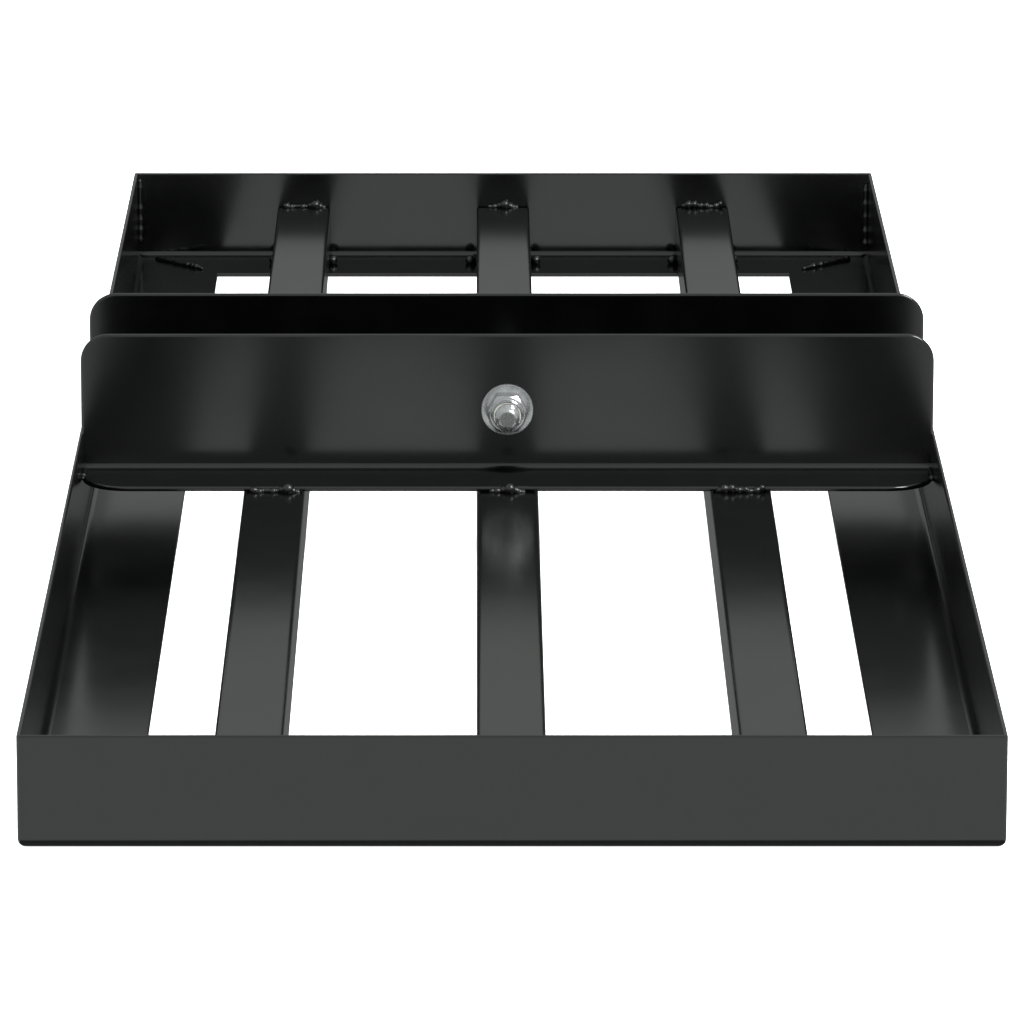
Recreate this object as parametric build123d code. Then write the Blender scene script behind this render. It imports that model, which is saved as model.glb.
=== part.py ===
from build123d import *
import os

# Welded tray frame of bent steel angle, with three hollow bars and a bolted cross bracket.
# Millimetres. +X is the frame's right, +Y its rear, +Z up. The origin is on the ground under its centre.

# Rim of bent angle
frame_width = 420.0
frame_length = 1200.0
leg = 50.0
side_foot = 48.6
sheet = 2.0
inner_bend = 3.0
edge_round = 0.9
rim_corner = 1.6

# Hollow bars, which lie on the rim's front and rear feet
bar_width = 30.0
bar_height = 28.5
bar_wall = 1.5
bar_corner = 2.5
bar_pitch = 113.5

# Cross bracket: two bent angles back to back, on top of the bars
gap = 91.0
cross_sheet = 2.5
cross_edge_round = 1.2
plate_top = 100.4
plate_overhang = 1.0
plate_corner = 13.5
cross_foot = 40.5
cross_foot_corner = 23.0
bolt_hole = 13.0
bolt_height = 63.0

# M12 flange bolt and flange lock nut
bolt_diameter = 12.0
bolt_length = 120.0
bolt_tip = 7.6
tip_length = 2.2
across_flats = 18.0
chamfer_circle = 17.2
flange_diameter = 25.6
flange_rim = 2.0
flange_top = 17.0
flange_height = 3.2
head_height = 12.0
nut_height = 12.0
collar_diameter = 15.0
collar_height = 3.5
insert_wall = 0.7
insert_height = 3.1
running_gap = 0.05

# Weld beads: the radius and length of each kind
end_bead = (6.0, 22.0)
side_bead = (4.0, 20.0)
foot_bead = (4.0, 22.0)
wall_bead = (3.0, 21.0)
upright_bead = (3.0, 34.0)
mitre_bead = 2.2
mitre_span = (0.2, 0.88)

# Worked out from the above
inner_x = frame_width / 2 - sheet
inner_y = frame_length / 2 - sheet
bar_top = sheet + bar_height
bar_length = 2 * (inner_y - inner_bend)
plate_face = gap / 2 + cross_sheet
foot_edge = gap / 2 + cross_foot
foot_top = bar_top + cross_sheet
bolt_radius = bolt_diameter / 2
bore_radius = bolt_radius + running_gap
bar_places = {"left": -bar_pitch, "centre": 0.0, "right": bar_pitch}

on_base = (Align.CENTER, Align.CENTER, Align.MIN)
up = (0, 0, 1)


def polygon(points):
    return make_face(Polyline(*points, close=True))


def round_vertex(face, u, v, radius):
    corner = face.vertices().sort_by_distance((u, v, 0))[0]
    return fillet(corner, radius)


def angle_section(foot):
    """Bent L with rounded sheet edges: its upright at u = 0, its foot along +u."""
    face = polygon([(0, 0), (foot, 0), (foot, sheet), (sheet, sheet), (sheet, leg), (0, leg)])
    face = round_vertex(face, 0, 0, inner_bend + sheet)
    face = round_vertex(face, sheet, sheet, inner_bend)
    for u, v in [(foot, 0), (foot, sheet), (sheet, leg), (0, leg)]:
        face = round_vertex(face, u, v, edge_round)
    return face


def rim_angles():
    """The four mitred angles of the rim: upright outside, foot inwards on the ground."""
    half_x = frame_width / 2
    half_y = frame_length / 2
    foot_x = half_x - side_foot
    foot_y = half_y - leg
    front_plane = Plane(origin=(-half_x, -half_y, 0), x_dir=(0, 1, 0), z_dir=(1, 0, 0))
    side_plane = Plane(origin=(-half_x, half_y, 0), x_dir=(1, 0, 0), z_dir=(0, -1, 0))
    front_plan = [(-half_x, -half_y), (half_x, -half_y), (foot_x, -foot_y), (-foot_x, -foot_y)]
    side_plan = [(-half_x, -half_y), (-foot_x, -foot_y), (-foot_x, foot_y), (-half_x, half_y)]
    outside = extrude(RectangleRounded(frame_width, frame_length, rim_corner), leg)
    front = extrude(front_plane * angle_section(leg), frame_width)
    front = front & extrude(polygon(front_plan), leg) & outside
    side = extrude(side_plane * angle_section(side_foot), frame_length)
    side = side & extrude(polygon(side_plan), leg) & outside
    return {
        "front_angle": front,
        "rear_angle": mirror(front, about=Plane.XZ),
        "left_side_angle": side,
        "right_side_angle": mirror(side, about=Plane.YZ),
    }


def hollow_bars():
    section = RectangleRounded(bar_width, bar_height, bar_corner)
    section -= RectangleRounded(bar_width - 2 * bar_wall, bar_height - 2 * bar_wall, bar_corner - bar_wall)
    start = Plane(origin=(0, -bar_length / 2, sheet + bar_height / 2), x_dir=(-1, 0, 0), z_dir=(0, 1, 0))
    bar = extrude(start * section, bar_length)
    return {f"{name}_bar": Pos(x, 0, 0) * bar for name, x in bar_places.items()}


def round_free_edges(flat, through, is_free):
    """Round the rims of a flat sheet's two faces, wherever is_free says so of an edge's middle."""
    rims = [edge for edge in flat.edges() if abs(edge.tangent_at(0).dot(through)) < 0.5]
    return fillet([edge for edge in rims if is_free(edge.center())], cross_edge_round)


def cross_angles():
    """Plates at the gap, feet outwards on the bars, and shoulders resting on the side walls."""
    half = frame_width / 2 - plate_overhang
    bend = inner_bend + cross_sheet
    bend_y = -gap / 2 - bend
    bend_z = bar_top + bend

    outline = [(-inner_x, bend_z), (inner_x, bend_z), (inner_x, leg), (half, leg)]
    outline += [(half, plate_top), (-half, plate_top), (-half, leg), (-inner_x, leg)]
    upright = polygon(outline)
    for x in (-half, half):
        upright = round_vertex(upright, x, plate_top, plate_corner)
    upright = Pos(0, -gap / 2, 0) * extrude(Plane.XZ * upright, cross_sheet)
    upright = round_free_edges(upright, Vector(0, 1, 0), lambda middle: middle.Z > leg + 1)

    foot = polygon([(-inner_x, bend_y), (inner_x, bend_y), (inner_x, -foot_edge), (-inner_x, -foot_edge)])
    for x in (-inner_x, inner_x):
        foot = round_vertex(foot, x, -foot_edge, cross_foot_corner)
    foot = Pos(0, 0, bar_top) * extrude(foot, cross_sheet)
    foot = round_free_edges(foot, Vector(0, 0, 1), lambda middle: middle.Y < bend_y - 1)

    ring = (Circle(bend) - Circle(inner_bend)) & Pos(-bend / 2, -bend / 2) * Rectangle(bend, bend)
    start = Plane(origin=(inner_x, bend_y, bend_z), x_dir=(0, -1, 0), z_dir=(-1, 0, 0))
    front = upright + foot + extrude(start * ring, 2 * inner_x)
    front -= along_bolt(rod(bolt_hole / 2, frame_length / 2), 0)
    return {"front_cross_angle": front, "rear_cross_angle": mirror(front, about=Plane.XZ)}


def rod(radius, length):
    return Cylinder(radius, length, align=on_base)


def taper(bottom, top, length):
    return Cone(bottom, top, length, align=on_base)


def along_bolt(shape, seat):
    """Turn a shape that stands on its seat so that it points forwards from y = seat on the bolt's axis."""
    return Pos(0, seat, bolt_height) * Rot(90, 0, 0) * shape


def hex_body(height):
    """Hexagon with its corners left and right once on the bolt's axis, and the flange below it."""
    circumradius = across_flats / 3**0.5
    body = extrude(RegularPolygon(circumradius, 6), height)
    body = body & taper(circumradius + height / 2, chamfer_circle / 2, height)
    body += rod(flange_diameter / 2, flange_rim)
    body += Pos(0, 0, flange_rim) * taper(flange_diameter / 2, flange_top / 2, flange_height - flange_rim)
    return body


def through_bolt():
    """Head behind the rear plate, threaded end in front of the front plate."""
    bolt = mirror(hex_body(head_height), about=Plane.XY)
    bolt += rod(bolt_radius, bolt_length - tip_length)
    bolt += Pos(0, 0, bolt_length - tip_length) * taper(bolt_radius, bolt_tip / 2, tip_length)
    return along_bolt(bolt, plate_face)


def lock_nut():
    """Flange nut with a thin collar that holds the nylon ring, just clear of both."""
    nut = hex_body(nut_height) + rod(collar_diameter / 2, nut_height + collar_height)
    nut -= rod(bore_radius, nut_height)
    nut -= Pos(0, 0, nut_height) * rod(bore_radius + insert_wall + running_gap, collar_height)
    return along_bolt(nut, -plate_face)


def nylon_insert():
    ring = rod(bore_radius + insert_wall, insert_height) - rod(bore_radius, insert_height)
    return along_bolt(Pos(0, 0, nut_height) * ring, -plate_face)


def fastener():
    return {"through_bolt": through_bolt(), "lock_nut": lock_nut(), "nylon_insert": nylon_insert()}


def quarter_bead(middle, out, rise, size):
    """Quarter-round bead in an inside corner, between the directions out and rise."""
    radius, length = size
    run = Vector(*out).cross(Vector(*rise))
    quarter = Circle(radius) & Pos(radius / 2, radius / 2) * Rectangle(radius, radius)
    return extrude(Plane(origin=middle, x_dir=out, z_dir=run) * quarter, length / 2, both=True)


def ridge(start, end, radius):
    """Half-round bead on a level face, from start to end."""
    run = Vector(*end) - Vector(*start)
    across = Vector(*up).cross(run)
    half = Circle(radius) & Pos(0, radius / 2) * Rectangle(2 * radius, radius)
    return extrude(Plane(origin=start, x_dir=across, z_dir=run) * half, run.length)


def corner_weld():
    """Rear left corner: up the inside of the walls, and along the mitre of the feet."""
    upright = quarter_bead((-inner_x, inner_y, leg / 2 + 2), (1, 0, 0), (0, -1, 0), upright_bead)
    near, far = [
        (-frame_width / 2 + share * side_foot, frame_length / 2 - share * leg, sheet) for share in mitre_span
    ]
    return [upright, ridge(near, far, mitre_bead)]


def bar_end_weld(x):
    """Rear end of a bar: across its top against the wall, and along both sides on the foot."""
    side_y = inner_y - inner_bend - side_bead[1] / 2
    welds = [quarter_bead((x, inner_y, bar_top), (0, -1, 0), up, end_bead)]
    for side in (-1, 1):
        middle = (x + side * bar_width / 2, side_y, sheet)
        welds.append(quarter_bead(middle, (side, 0, 0), up, side_bead))
    return welds


def cross_foot_weld(x):
    """Along the front cross angle's free edge, on top of a bar."""
    return [quarter_bead((x, -foot_edge, bar_top), (0, -1, 0), up, foot_bead)]


def cross_end_weld():
    """Front cross angle's left end, on top of its foot against the side wall, from the bend forwards."""
    middle_y = -plate_face - inner_bend - wall_bead[1] / 2
    return [quarter_bead((-inner_x, middle_y, foot_top), (1, 0, 0), up, wall_bead)]


def mirrored(shapes, plane):
    return [mirror(shape, about=plane) for shape in shapes]


def weld_groups():
    groups = {}
    for end in ("front", "rear"):
        for name, x in bar_places.items():
            bar_weld = bar_end_weld(x)
            foot_weld = cross_foot_weld(x)
            if end == "front":
                bar_weld = mirrored(bar_weld, Plane.XZ)
            else:
                foot_weld = mirrored(foot_weld, Plane.XZ)
            groups[f"{end}_weld_of_{name}_bar"] = bar_weld
            groups[f"{end}_cross_weld_on_{name}_bar"] = foot_weld
        for side in ("left", "right"):
            corner = corner_weld()
            wall = cross_end_weld()
            if end == "front":
                corner = mirrored(corner, Plane.XZ)
            else:
                wall = mirrored(wall, Plane.XZ)
            if side == "right":
                corner = mirrored(corner, Plane.YZ)
                wall = mirrored(wall, Plane.YZ)
            groups[f"{end}_{side}_corner_weld"] = corner
            groups[f"{end}_cross_{side}_end_weld"] = wall
    return groups


os.makedirs("parts", exist_ok=True)
for node, shape in {**rim_angles(), **hollow_bars(), **cross_angles(), **fastener()}.items():
    export_step(shape, f"parts/{node}.step")
for node, shapes in weld_groups().items():
    export_step(shapes[0] if len(shapes) == 1 else Compound(children=shapes), f"parts/{node}.step")
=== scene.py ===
import math
import random

import bmesh
import bpy
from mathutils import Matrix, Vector


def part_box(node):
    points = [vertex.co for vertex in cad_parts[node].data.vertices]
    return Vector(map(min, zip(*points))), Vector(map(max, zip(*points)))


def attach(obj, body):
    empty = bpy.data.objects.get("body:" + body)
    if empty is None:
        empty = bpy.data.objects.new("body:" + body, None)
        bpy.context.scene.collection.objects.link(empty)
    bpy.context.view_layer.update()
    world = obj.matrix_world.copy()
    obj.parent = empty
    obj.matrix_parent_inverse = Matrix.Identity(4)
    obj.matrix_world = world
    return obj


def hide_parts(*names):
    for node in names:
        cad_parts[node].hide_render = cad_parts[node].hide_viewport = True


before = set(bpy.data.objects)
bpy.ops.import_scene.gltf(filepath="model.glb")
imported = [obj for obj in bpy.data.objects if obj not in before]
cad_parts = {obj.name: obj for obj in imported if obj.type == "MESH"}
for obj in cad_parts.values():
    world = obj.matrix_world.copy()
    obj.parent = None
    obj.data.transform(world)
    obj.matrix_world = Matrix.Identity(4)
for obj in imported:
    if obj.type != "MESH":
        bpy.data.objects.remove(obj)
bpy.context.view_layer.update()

# A welded tray frame of black powder-coated angle, with box bars and a bolted cross bracket.
# Metres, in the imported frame: +X right, +Y to the rear, +Z up.

MM = 0.001
SHEET = 2.0 * MM
PLATE = 2.5 * MM
ENDS = {"front": -1, "rear": 1}
SIDES = {"left": -1, "right": 1}
BARS = ("left", "centre", "right")
WALL_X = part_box("left_side_angle")[0].x * -1 - SHEET
WALL_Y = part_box("rear_angle")[1].y - SHEET
PAINTED_NODES = [n for n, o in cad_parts.items() if o.data.materials[0].name == "black_paint"]


# ---------------------------------------------------------------- materials


class Nodes:
    """A material's node tree, with its Principled shader and short ways to add to it."""

    def __init__(self, name):
        self.material = bpy.data.materials.new(name)
        self.material.use_nodes = True
        self.tree = self.material.node_tree
        self.shader = self.tree.nodes["Principled BSDF"]
        self.coordinates = self.tree.nodes.new("ShaderNodeTexCoord").outputs["Object"]

    def set(self, **values):
        for name, value in values.items():
            self.shader.inputs[name.replace("_", " ")].default_value = value

    def link(self, source, target):
        self.tree.links.new(source, target)

    def noise(self, scale, detail, stretch=(1, 1, 1)):
        mapping = self.tree.nodes.new("ShaderNodeMapping")
        mapping.inputs["Scale"].default_value = stretch
        self.link(self.coordinates, mapping.inputs["Vector"])
        texture = self.tree.nodes.new("ShaderNodeTexNoise")
        texture.inputs["Scale"].default_value = scale
        texture.inputs["Detail"].default_value = detail
        self.link(mapping.outputs["Vector"], texture.inputs["Vector"])
        return texture.outputs["Fac"]

    def levels(self, source, low, high, start=0.3, end=0.7):
        """source, stretched so that start gives low and end gives high."""
        remap = self.tree.nodes.new("ShaderNodeMapRange")
        remap.inputs["From Min"].default_value = start
        remap.inputs["From Max"].default_value = end
        remap.inputs["To Min"].default_value = low
        remap.inputs["To Max"].default_value = high
        self.link(source, remap.inputs["Value"])
        return remap.outputs["Result"]

    def blend(self, factor, dark, light):
        mix = self.tree.nodes.new("ShaderNodeMix")
        mix.data_type = "RGBA"
        for name, value in (("A", dark), ("B", light)):
            if isinstance(value, tuple):
                mix.inputs[name].default_value = (*value, 1)
            else:
                self.link(value, mix.inputs[name])
        self.link(factor, mix.inputs["Factor"])
        return mix.outputs["Result"]

    def bump(self, height, distance, strength, below=None):
        node = self.tree.nodes.new("ShaderNodeBump")
        node.inputs["Distance"].default_value = distance
        node.inputs["Strength"].default_value = strength
        self.link(height, node.inputs["Height"])
        if below is not None:
            self.link(below, node.inputs["Normal"])
        return node.outputs["Normal"]

    def into(self, source, name):
        self.link(source, self.shader.inputs[name])


def powder_coat(name, roughness, lean=0.0):
    """Gloss black powder coat: faint orange peel, a soft mottle in the gloss, and a trace of dust.

    lean is the slope by which the inside of an upright wall is shaded as if it leaned back.
    """
    n = Nodes(name)
    n.set(IOR=1.5)
    dust = n.levels(n.noise(55, 4), 0.0, 1.0, 0.42, 0.72)
    n.into(n.blend(dust, (0.0006, 0.0007, 0.00065), (0.0012, 0.0013, 0.00125)), "Base Color")
    n.into(n.levels(n.noise(22, 5), roughness, roughness + 0.03), "Roughness")
    split = n.tree.nodes.new("ShaderNodeSeparateXYZ")
    n.link(n.coordinates, split.inputs["Vector"])
    leaning = n.bump(n.levels(split.outputs["Z"], 0, -1, 0, 1), lean, 1.0)
    waves = n.bump(n.noise(70, 2.0), 0.05 * MM, 0.2, leaning)
    n.into(n.bump(n.noise(620, 1.0), 0.02 * MM, 0.2, waves), "Normal")
    return n.material


def zinc(name, sheared_at):
    """Dull zinc plate: a grey metal with cloudy tone and fine marks, duller in front of sheared_at."""
    n = Nodes(name)
    n.set(Metallic=0.88)
    cloud = n.levels(n.noise(260, 4), 0, 1)
    plated = n.blend(cloud, (0.27, 0.275, 0.285), (0.36, 0.362, 0.365))
    split = n.tree.nodes.new("ShaderNodeSeparateXYZ")
    n.link(n.coordinates, split.inputs["Vector"])
    sheared = n.blend(cloud, (0.2, 0.203, 0.203), (0.23, 0.232, 0.23))
    shank = n.levels(split.outputs["Y"], 0.0, 1.0, sheared_at - 0.05 * MM, sheared_at + 0.05 * MM)
    n.into(n.blend(shank, sheared, plated), "Base Color")
    n.into(n.levels(n.noise(900, 3), 0.22, 0.3), "Roughness")
    marks = n.noise(160, 2, stretch=(1, 14, 1))
    n.into(n.bump(marks, 0.02 * MM, 0.25), "Normal")
    return n.material


def nylon(name):
    n = Nodes(name)
    tone = n.levels(n.noise(500, 3), 0, 1)
    n.into(n.blend(tone, (0.66, 0.65, 0.6), (0.78, 0.77, 0.73)), "Base Color")
    n.set(Roughness=0.45, Subsurface_Weight=0.15, Subsurface_Scale=0.4 * MM)
    n.into(n.bump(n.noise(1500, 2), 0.02 * MM, 0.3), "Normal")
    return n.material


def floor_paper(name):
    n = Nodes(name)
    n.into(n.blend(n.noise(3, 3), (0.84, 0.84, 0.835), (0.87, 0.87, 0.865)), "Base Color")
    n.set(Roughness=0.9, Specular_IOR_Level=0.1, Emission_Color=(1, 1, 1, 1), Emission_Strength=0.95)
    return n.material


# ---------------------------------------------------------------- mesh helpers


def add_piece(name, vertices, faces, material, body, replaced, sharp=180):
    """A visible piece in place of the replaced nodes, creased where faces turn by over sharp degrees."""
    mesh = bpy.data.meshes.new(name)
    mesh.from_pydata([tuple(v) for v in vertices], [], faces)
    mesh.validate()
    mesh.polygons.foreach_set("use_smooth", [True] * len(mesh.polygons))
    tidy_mesh = bmesh.new()
    tidy_mesh.from_mesh(mesh)
    bmesh.ops.recalc_face_normals(tidy_mesh, faces=tidy_mesh.faces)
    tidy_mesh.to_mesh(mesh)
    tidy_mesh.free()
    mesh.set_sharp_from_angle(angle=math.radians(sharp))
    mesh.materials.append(material)
    piece = bpy.data.objects.new(name, mesh)
    bpy.context.scene.collection.objects.link(piece)
    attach(piece, body)
    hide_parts(*replaced)


def tube_faces(rings, around):
    """Quads between successive rings of vertices."""
    faces = []
    for r in range(rings - 1):
        for i in range(around):
            a = r * around + i
            b = r * around + (i + 1) % around
            faces.append((a, b, b + around, a + around))
    return faces


# ---------------------------------------------------------------- weld beads

# Lumps of a weld on top of a bar, in mm: along the joint, out from it, up from the bar, radius.
BAR_LUMPS = {
    "left": [
        (-10.0, 1.7, 0.7, 2.2), (-7.1, 2.0, 0.2, 2.0), (-0.5, 1.9, 0.4, 1.9), (3.9, 1.8, 1.1, 1.9),
        (6.6, 1.9, 1.4, 3.1), (9.2, 2.1, 0.5, 1.9), (11.5, 1.9, -0.1, 1.4),
    ],
    "centre": [
        (-7.6, 1.6, 0.4, 1.5), (-5.0, 1.8, 0.5, 1.8), (-2.0, 1.8, 1.2, 1.8), (1.1, 1.9, 1.6, 3.0),
        (4.2, 1.9, 0.8, 1.8), (5.7, 2.0, 0.0, 1.9), (7.7, 1.9, -0.1, 1.3),
    ],
    "right": [
        (-10.3, 1.5, 0.9, 1.7), (-8.0, 1.7, 1.6, 2.4), (-4.5, 1.8, 1.8, 2.3), (-0.9, 2.0, 1.0, 1.8),
        (2.3, 2.0, 1.2, 1.8), (4.5, 2.0, 0.4, 1.7), (7.8, 2.0, 0.9, 2.0), (10.3, 1.7, 2.1, 1.7),
    ],
}
# How far out from a bar's side the blob at the end of its side weld stands, in mm.
SIDE_BLOBS = {"left": 1.6, "centre": 3.6, "right": 2.3}
# Heights in mm of the swellings in the upright beads of the corners, and of those beads' middle.
UPRIGHT_SWELLS = {"left": (42.0, 29.7, 23.2, 17.5, 12.0), "right": (40.0, 32.3, 24.9, 16.4, 9.5)}
UPRIGHT_MIDDLE = 27
# Lengths in mm of the runs of the other beads.
SIDE_LENGTH = 17
MITRE_LENGTH = 38
CROSS_END_LENGTH = 20
# How far in mm a bar's side weld is from the wall, and a mitre's weld from the walls, at their middles.
SIDE_MIDDLE = 13
MITRE_MIDDLE = 24
# A mitre's direction, across and along the frame: the side feet are a little narrower than the end feet.
MITRE_RUN = (0.7, 0.714)
# How far inside a cross angle's free edge its welds on the bars start.
EDGE_LAP = 0.9 * MM
# Blob at the free end of a cross angle's end weld, in mm: along, out, up, radius.
CROSS_END_BLOBS = {"left": (6.5, 0.6, 1.0, 1.8), "right": (10.0, 0.6, 0.8, 1.7)}
# Mean distance in mm between the drops of a run, the distance after filling, and the fill's narrowing.
DROP_STEP = 2.6
FILL_STEP = 0.7
NECK = 0.97
# How deep a bead's flat cut side sits in the metal that it is welded to.
ROOT_DEPTH = 0.4 * MM
ACROSS = Vector((1, 0, 0))
UP = Vector((0, 0, 1))


def melt(drops, cuts):
    """One smooth lump made of overlapping drops (centre, radius), cut flat where metal hides it."""
    lump = bmesh.new()
    for centre, radius in drops:
        ball = bmesh.ops.create_icosphere(lump, subdivisions=3, radius=radius)["verts"]
        bmesh.ops.translate(lump, verts=ball, vec=centre)
    mesh = bpy.data.meshes.new("drops")
    lump.to_mesh(mesh)
    lump.free()
    holder = bpy.data.objects.new("drops", mesh)
    bpy.context.scene.collection.objects.link(holder)
    remesh = holder.modifiers.new("remesh", "REMESH")
    remesh.mode = "VOXEL"
    remesh.voxel_size = 0.32 * MM
    relax = holder.modifiers.new("relax", "SMOOTH")
    relax.factor = 0.5
    relax.iterations = 4
    evaluated = holder.evaluated_get(bpy.context.evaluated_depsgraph_get())
    smooth = bmesh.new()
    smooth.from_mesh(evaluated.to_mesh())
    evaluated.to_mesh_clear()
    bpy.data.objects.remove(holder)
    bpy.data.meshes.remove(mesh)
    for place, outward in cuts:
        everything = smooth.verts[:] + smooth.edges[:] + smooth.faces[:]
        plane = {"plane_co": place, "plane_no": outward}
        bmesh.ops.bisect_plane(smooth, geom=everything, clear_outer=True, **plane)
        open_edges = [edge for edge in smooth.edges if edge.is_boundary]
        bmesh.ops.edgeloop_fill(smooth, edges=open_edges)
    return smooth


def flat_sides(root, *directions):
    """The cuts that leave a bead's root in the metal behind and below it."""
    return [(root - direction * ROOT_DEPTH, -direction) for direction in directions]


def chain(root, run, out, rise, drops):
    """Drops given along, out, up and radius in mm, as centres and radii about a root."""
    return [(root + (run * a + out * b + rise * c) * MM, r * MM) for a, b, c, r in drops]


def filled(drops):
    """The same run of drops with slightly narrower ones between them, so that it is smooth."""
    run = []
    for start, end in zip(drops, drops[1:]):
        run.append(start)
        parts = max(3, round(math.dist(start[:3], end[:3]) / FILL_STEP))
        for i in range(1, parts):
            along, out, up, radius = [s + (e - s) * i / parts for s, e in zip(start, end)]
            run.append((along, out, up, radius * NECK))
    return run + drops[-1:]


def rope(dice, length, out, up, thin, thick):
    """A smooth run of uneven thickness along a joint, thinner at its ends."""
    count = max(3, round(length / DROP_STEP))
    drops = []
    for i in range(count):
        along = (i / (count - 1) - 0.5) * length
        radius = dice.uniform(thin, thick) * (0.8 if i in (0, count - 1) else 1.0)
        wander = dice.uniform(-0.15, 0.15)
        drops.append((along, out + wander, up + dice.uniform(-0.1, 0.15), radius))
    return filled(drops)


def bar_drops(dice, bar):
    """The lumps of a bar's weld on a thin even run."""
    lumps = BAR_LUMPS[bar]
    middle = (lumps[0][0] + lumps[-1][0]) / 2
    run = rope(dice, lumps[-1][0] - lumps[0][0], 1.4, 0.6, 1.2, 1.35)
    return lumps + [(along + middle, out, up, radius) for along, out, up, radius in run]


def weld(node, lumps):
    """All of a weld node's lumps as one piece, in place of its plain CAD bars."""
    joined = bpy.data.meshes.new("joined")
    whole = bmesh.new()
    for lump in lumps:
        lump.to_mesh(joined)
        whole.from_mesh(joined)
        lump.free()
    bpy.data.meshes.remove(joined)
    vertices = [v.co.copy() for v in whole.verts]
    whole.verts.index_update()
    faces = [tuple(v.index for v in f.verts) for f in whole.faces]
    whole.free()
    add_piece(f"{node}_bead", vertices, faces, bead_paint, "frame", [node])


def bar_end_welds(end, bar):
    """Over the bar's end against the wall, and along its sides on the foot."""
    sign = ENDS[end]
    low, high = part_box(f"{bar}_bar")
    wall = sign * WALL_Y
    inward = Vector((0, -sign, 0))
    root = Vector(((low.x + high.x) / 2, wall, high.z))
    drops = bar_drops(random.Random(f"{end}{bar}"), bar)
    lumps = [melt(chain(root, ACROSS, inward, UP, drops), flat_sides(root, inward, UP))]
    for side, x in ((-1, low.x), (1, high.x)):
        dice = random.Random(f"{end}{bar}{side}")
        out = Vector((side, 0, 0))
        root = Vector((x, wall + (SIDE_MIDDLE * inward.y) * MM, low.z))
        drops = rope(dice, SIDE_LENGTH, 0.9, 0.9, 1.1, 1.5)
        blob = SIDE_BLOBS[bar]
        drops += [(8.3, blob, 1.9, 2.9), (6.6, blob - 0.6, 1.4, 2.3)]
        lumps.append(melt(chain(root, inward, out, UP, drops), flat_sides(root, out, UP)))
    weld(f"{end}_weld_of_{bar}_bar", lumps)


def cross_foot_welds(end, bar):
    """Along the cross angle's free edge, lapping from the bar's top onto the foot."""
    sign = ENDS[end]
    low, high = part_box(f"{bar}_bar")
    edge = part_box(f"{end}_cross_angle")[1 if sign > 0 else 0].y
    outward = Vector((0, sign, 0))
    root = Vector(((low.x + high.x) / 2, edge - sign * EDGE_LAP, high.z))
    drops = chain(root, ACROSS, outward, UP, bar_drops(random.Random(f"{bar}{end}"), bar))
    weld(f"{end}_cross_weld_on_{bar}_bar", [melt(drops, flat_sides(root, UP))])


def corner_welds(end, side):
    """Up the inside of the walls, and along the mitre between the feet."""
    e, s = ENDS[end], SIDES[side]
    dice = random.Random(f"{end}{side}")
    inward_x, inward_y = Vector((-s, 0, 0)), Vector((0, -e, 0))
    corner = Vector((s * WALL_X, e * WALL_Y, UPRIGHT_MIDDLE * MM))
    drops = []
    for height in UPRIGHT_SWELLS[side]:
        above = height - UPRIGHT_MIDDLE
        drops.append((above + dice.uniform(2.5, 3.5), 0.9, 0.9, dice.uniform(1.4, 1.6)))
        drops.append((above, 0.9, 0.9, dice.uniform(2.0, 2.3)))
    drops = chain(corner, UP, inward_x, inward_y, filled(drops))
    lumps = [melt(drops, flat_sides(corner, inward_x, inward_y))]
    run = Vector((-s * MITRE_RUN[0], -e * MITRE_RUN[1], 0))
    drops = rope(dice, MITRE_LENGTH, 0, 0.5, 1.2, 1.7)
    drops += [(dice.uniform(-17, 17), 0, 0.7, dice.uniform(1.8, 2.1)) for _ in range(3)]
    place = corner + (inward_x + inward_y) * MITRE_MIDDLE * MM
    place.z = SHEET
    lumps.append(melt(chain(place, run, run.cross(UP), UP, drops), flat_sides(place, UP)))
    weld(f"{end}_{side}_corner_weld", lumps)


def cross_end_welds(end, side):
    """On the cross angle's foot, against the side wall."""
    e, s = ENDS[end], SIDES[side]
    dice = random.Random(f"{side}{end}")
    low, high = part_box(f"{end}_cross_{side}_end_weld")
    inward = Vector((-s, 0, 0))
    outward = Vector((0, e, 0))
    root = Vector((s * WALL_X, (low.y + high.y) / 2, low.z))
    drops = rope(dice, CROSS_END_LENGTH, 0.7, 0.7, 0.9, 1.2)
    drops.append(CROSS_END_BLOBS[side])
    drops = chain(root, outward, inward, UP, drops)
    weld(f"{end}_cross_{side}_end_weld", [melt(drops, flat_sides(root, inward, UP))])


# ---------------------------------------------------------------- bolt and nut


BOLT_RADIUS = 6.0 * MM
PITCH = 1.75 * MM
RUN_OUT = 1.5 * PITCH
# A groove's depth falls from its middle by the slope per pitch, and is cut off between 0 and 1.
GROOVE_PEAK = 1.25
GROOVE_SLOPE = 3.2
THREAD_DEPTH = 1.07 * MM
THREAD_LENGTH = 30 * MM
TIP_RADIUS = 3.65 * MM
APOTHEM = 9.0 * MM
HEX_CORNER = 10.2 * MM
CHAMFER_RADIUS = 8.6 * MM
CHAMFER_SLOPE = 0.84
FLANGE_RADIUS = 12.8 * MM
FLANGE_RIM = 2.0 * MM
FLANGE_HEIGHT = 3.2 * MM
FLANGE_TOP = 8.5 * MM
FLANGE_HOLLOW = 2.2
NUT_HEX_TOP = 12 * MM
COLLAR_RADIUS = 7.5 * MM
PLAY = 0.05 * MM
AROUND = 144


def hex_radius(angle):
    """Radius of the hexagon, whose slightly rounded corners point left and right."""
    sector = math.radians(60)
    flat = APOTHEM / math.cos((angle + sector / 2) % sector - sector / 2)
    return min(flat, HEX_CORNER)


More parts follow.
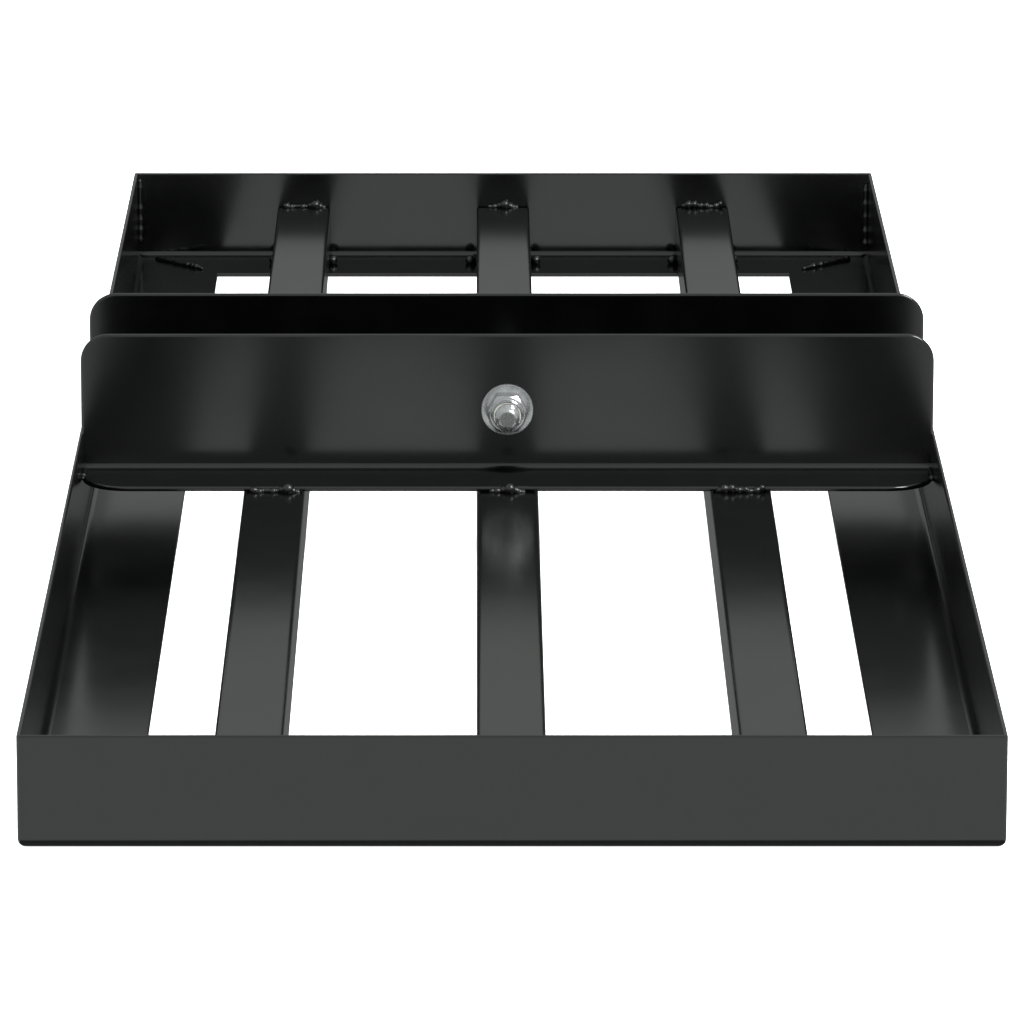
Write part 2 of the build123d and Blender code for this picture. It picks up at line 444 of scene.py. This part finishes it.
def flange_rise(radius):
    """Height of the flange's hollow slope above the seat at a radius."""
    inwards = (FLANGE_RADIUS - radius) / (FLANGE_RADIUS - FLANGE_TOP)
    return FLANGE_RIM + (FLANGE_HEIGHT - FLANGE_RIM) * inwards ** FLANGE_HOLLOW


def ring(height, radius):
    """A level row of a turned body: the same height and radius at every angle."""
    return lambda angle: (height, radius)


def steps(start, end, spacing):
    count = max(1, round(abs(end - start) / spacing))
    return [start + (end - start) * i / count for i in range(count + 1)]


def slope_row(share):
    """A row on the flange's slope, from its rim at 0 to the foot of the hexagon at 1."""
    def row(angle):
        radius = FLANGE_RADIUS + (hex_radius(angle) - FLANGE_RADIUS) * share
        return flange_rise(radius), radius

    return row


def wall_row(share, top):
    """A row on the hexagon, from the flange at 0 to the edge of its chamfer at 1."""
    def row(angle):
        radius = hex_radius(angle)
        low = flange_rise(radius)
        high = top - (radius - CHAMFER_RADIUS) * CHAMFER_SLOPE
        return low + (high - low) * share, radius

    return row


def hex_rows(top):
    """Rows from the seat up the flange and the hexagon to its top face."""
    rows = [ring(0, FLANGE_RADIUS - 0.4 * MM), ring(0.15 * MM, FLANGE_RADIUS - 0.1 * MM)]
    rows += [ring(0.4 * MM, FLANGE_RADIUS), ring(FLANGE_RIM - 0.3 * MM, FLANGE_RADIUS)]
    rows += [ring(FLANGE_RIM - 0.08 * MM, FLANGE_RADIUS - 0.08 * MM)]
    rows += [slope_row(share) for share in steps(0.08, 1, 0.1)]
    rows += [wall_row(share, top) for share in (0.5, 1)]
    return rows + [ring(top, CHAMFER_RADIUS)]


def tip_radius(depth):
    """Radius of the bolt's domed tip at a depth behind its flat end.

    As a share of the dome's width, it solves depth / width = slope * share + curve * share squared.
    """
    slope, curve = 0.2126, 0.76
    width = BOLT_RADIUS - TIP_RADIUS
    share = (math.sqrt(slope * slope + 4 * curve * max(0.0, depth) / width) - slope) / (2 * curve)
    return TIP_RADIUS + width * share


def thread_row(height, start, end):
    """A row of the right-hand thread between two heights, run out at its start and domed at its end."""
    def row(angle):
        phase = (height / PITCH + angle / (2 * math.pi)) % 1.0
        groove = min(1.0, max(0.0, GROOVE_PEAK - abs(phase - 0.5) * GROOVE_SLOPE))
        fade = min(1.0, max(0.0, (height - start) / RUN_OUT))
        return height, min(BOLT_RADIUS - THREAD_DEPTH * groove * fade, tip_radius(end - height))

    return row


def lathe(name, rows, seat, material, body, node, closed):
    """A body of rows about the bolt's axis, with their heights measured forwards from its seat."""
    low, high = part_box("nylon_insert")
    axis_x, axis_z = (low.x + high.x) / 2, (low.z + high.z) / 2
    vertices = []
    for row in rows:
        for i in range(AROUND):
            angle = 2 * math.pi * i / AROUND
            height, radius = row(angle)
            x = axis_x + radius * math.sin(angle)
            z = axis_z + radius * math.cos(angle)
            vertices.append((x, seat - height, z))
    faces = tube_faces(len(rows), AROUND)
    last = (len(rows) - 1) * AROUND
    if closed:
        faces += [(last + i, last + (i + 1) % AROUND, (i + 1) % AROUND, i) for i in range(AROUND)]
    else:
        faces += [tuple(range(AROUND)), tuple(range(last + AROUND - 1, last - 1, -1))]
    add_piece(name, vertices, faces, material, body, [node], sharp=35)


def below_seat(row):
    """The same row on the other side of the seat."""
    def mirrored(angle):
        height, radius = row(angle)
        return -height, radius

    return mirrored


def make_bolt():
    low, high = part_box("through_bolt")
    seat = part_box("rear_cross_angle")[0].y + PLATE
    end = seat - low.y
    head_top = high.y - seat
    thread_start = end - THREAD_LENGTH
    rows = [ring(-head_top, r * MM) for r in (0.3, 3, 6, 7.8)]
    rows += [below_seat(row) for row in reversed(hex_rows(head_top))]
    rows += [ring(0, r) for r in (9 * MM, BOLT_RADIUS)]
    rows += [ring(h, BOLT_RADIUS) for h in steps(1 * MM, thread_start, 6 * MM)]
    rows += [thread_row(h, thread_start, end) for h in steps(thread_start, end, PITCH / 12)[1:]]
    rows += [ring(end, r * MM) for r in (3.4, 1.8, 0.3)]
    lathe("flange_bolt", rows, seat, bolt_zinc, "bolt", "through_bolt", closed=False)


def make_nut():
    low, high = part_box("lock_nut")
    seat = high.y
    total = high.y - low.y
    top, collar = NUT_HEX_TOP, COLLAR_RADIUS
    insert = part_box("nylon_insert")
    recess = (insert[1].x - insert[0].x) / 2 + PLAY
    bore = BOLT_RADIUS + PLAY
    rows = [ring(0, bore), ring(0, 10 * MM)]
    rows += hex_rows(top)
    rows += [ring(top + 0.05 * MM, collar + 0.5 * MM), ring(top + 0.4 * MM, collar)]
    rows += [ring(h, collar) for h in steps(top + 1 * MM, total - 0.6 * MM, 0.5 * MM)]
    middle = (collar + recess) / 2
    half = (collar - recess) / 2
    for turn in (30, 60, 90, 120, 150):
        angle = math.radians(turn)
        rows.append(ring(total - half + half * math.sin(angle), middle + half * math.cos(angle)))
    rows += [ring(total - 1 * MM, recess), ring(top, recess), ring(top, bore)]
    lathe("flange_lock_nut", rows, seat, nut_zinc, "nut", "lock_nut", closed=True)


# ---------------------------------------------------------------- stage


FLOOR_WIDTH = 18.0


def make_floor():
    """White paper, just under the frame so that the two don't share a plane."""
    place = (0, 3, -0.3 * MM)
    cells = {"x_subdivisions": 4, "y_subdivisions": 4}
    bpy.ops.mesh.primitive_grid_add(size=FLOOR_WIDTH, location=place, **cells)
    ground = bpy.context.object
    ground.name = "floor"
    ground.data.materials.append(floor_paper("floor_paper"))
    ground.visible_glossy = False


def area_light(name, place, target, size, power, reflected=True):
    data = bpy.data.lights.new(name, "AREA")
    data.shape = "DISK"
    data.size = size
    data.energy = power
    light = bpy.data.objects.new(name, data)
    light.location = place
    light.rotation_euler = (Vector(target) - Vector(place)).to_track_quat("-Z", "Y").to_euler()
    light.visible_glossy = reflected
    bpy.context.scene.collection.objects.link(light)


def make_world():
    """A studio by direction: bright in front and at the sides, dim low behind, with a pale ground.

    The ground darkens straight down, and behind the frame on its middle line.
    """
    world = bpy.data.worlds.new("studio")
    world.use_nodes = True
    tree = world.node_tree
    split = tree.nodes.new("ShaderNodeSeparateXYZ")
    direction = tree.nodes.new("ShaderNodeTexCoord").outputs["Generated"]
    tree.links.new(direction, split.inputs["Vector"])
    sideways = tree.nodes.new("ShaderNodeMath")
    sideways.operation = "ABSOLUTE"
    tree.links.new(split.outputs["X"], sideways.inputs[0])
    axes = {"sideways": sideways.outputs["Value"], "Y": split.outputs["Y"], "Z": split.outputs["Z"]}

    def ramp(axis, start, end, low, high):
        """A level that goes from low to high as a direction's axis goes from start to end."""
        node = tree.nodes.new("ShaderNodeMapRange")
        node.interpolation_type = "SMOOTHSTEP"
        for socket, value in (("From Min", start), ("From Max", end)):
            node.inputs[socket].default_value = value
        for socket, value in (("To Min", low), ("To Max", high)):
            if isinstance(value, (int, float)):
                node.inputs[socket].default_value = value
            else:
                tree.links.new(value, node.inputs[socket])
        tree.links.new(axes[axis], node.inputs["Value"])
        return node.outputs["Result"]

    behind = ramp("Z", 0.15, 0.85, ramp("sideways", 0.3, 0.6, 0.305, 0.95), 1.0)
    before = ramp("Z", 0.1, 0.75, 0.88, 1.0)
    above = ramp("Y", -0.5, 0.3, before, behind)
    ahead = ramp("Z", -0.78, -0.58, 0.22, 1.32)
    ground = ramp("sideways", 0.3, 0.6, 0.17, 1.2)
    below = ramp("Y", -0.2, 0.5, ahead, ground)
    level = ramp("Z", -0.03, 0.03, below, above)
    tree.links.new(level, tree.nodes["Background"].inputs["Strength"])
    tree.nodes["Background"].inputs["Color"].default_value = (0.965, 1.01, 0.985, 1)
    bpy.context.scene.world = world


def make_camera():
    """A long lens, a little left of the middle, looking down at the frame from its front."""
    data = bpy.data.cameras.new("camera")
    data.lens = 278.9
    data.sensor_width = 36
    data.shift_x = 0.0347
    data.clip_end = 60
    camera = bpy.data.objects.new("camera", data)
    camera.location = (-0.0151, -3.8358, 0.9478)
    camera.rotation_euler = (math.radians(90 - 13.892), 0, 0)
    bpy.context.scene.collection.objects.link(camera)
    bpy.context.scene.camera = camera


# ---------------------------------------------------------------- build


frame_paint = powder_coat("gloss_black_coat", 0.15)
rear_paint = powder_coat("gloss_black_coat_rear", 0.09, lean=0.045)
bead_paint = powder_coat("gloss_black_over_weld", 0.3)
bolt_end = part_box("through_bolt")[0].y
bolt_zinc = zinc("bolt_zinc_plate", bolt_end + 0.1 * MM)
# All of the nut is behind this, so none of it is sheared.
nut_zinc = zinc("nut_zinc_plate", bolt_end - 5 * MM)

for node in PAINTED_NODES:
    paint = rear_paint if node == "rear_angle" else frame_paint
    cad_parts[node].data.materials[0] = paint
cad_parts["nylon_insert"].data.materials[0] = nylon("natural_nylon")

for end in ENDS:
    for bar in BARS:
        bar_end_welds(end, bar)
        cross_foot_welds(end, bar)
    for side in SIDES:
        corner_welds(end, side)
        cross_end_welds(end, side)
make_bolt()
make_nut()

make_floor()
make_world()
area_light("key", (1.55, -1.1, 2.25), (0, 0, 0.05), size=1.25, power=96)
area_light("overhead", (0, 0.6, 4.5), (0, 0.6, 0), size=4.5, power=260, reflected=False)
make_camera()
bpy.context.scene.view_settings.view_transform = "Standard"
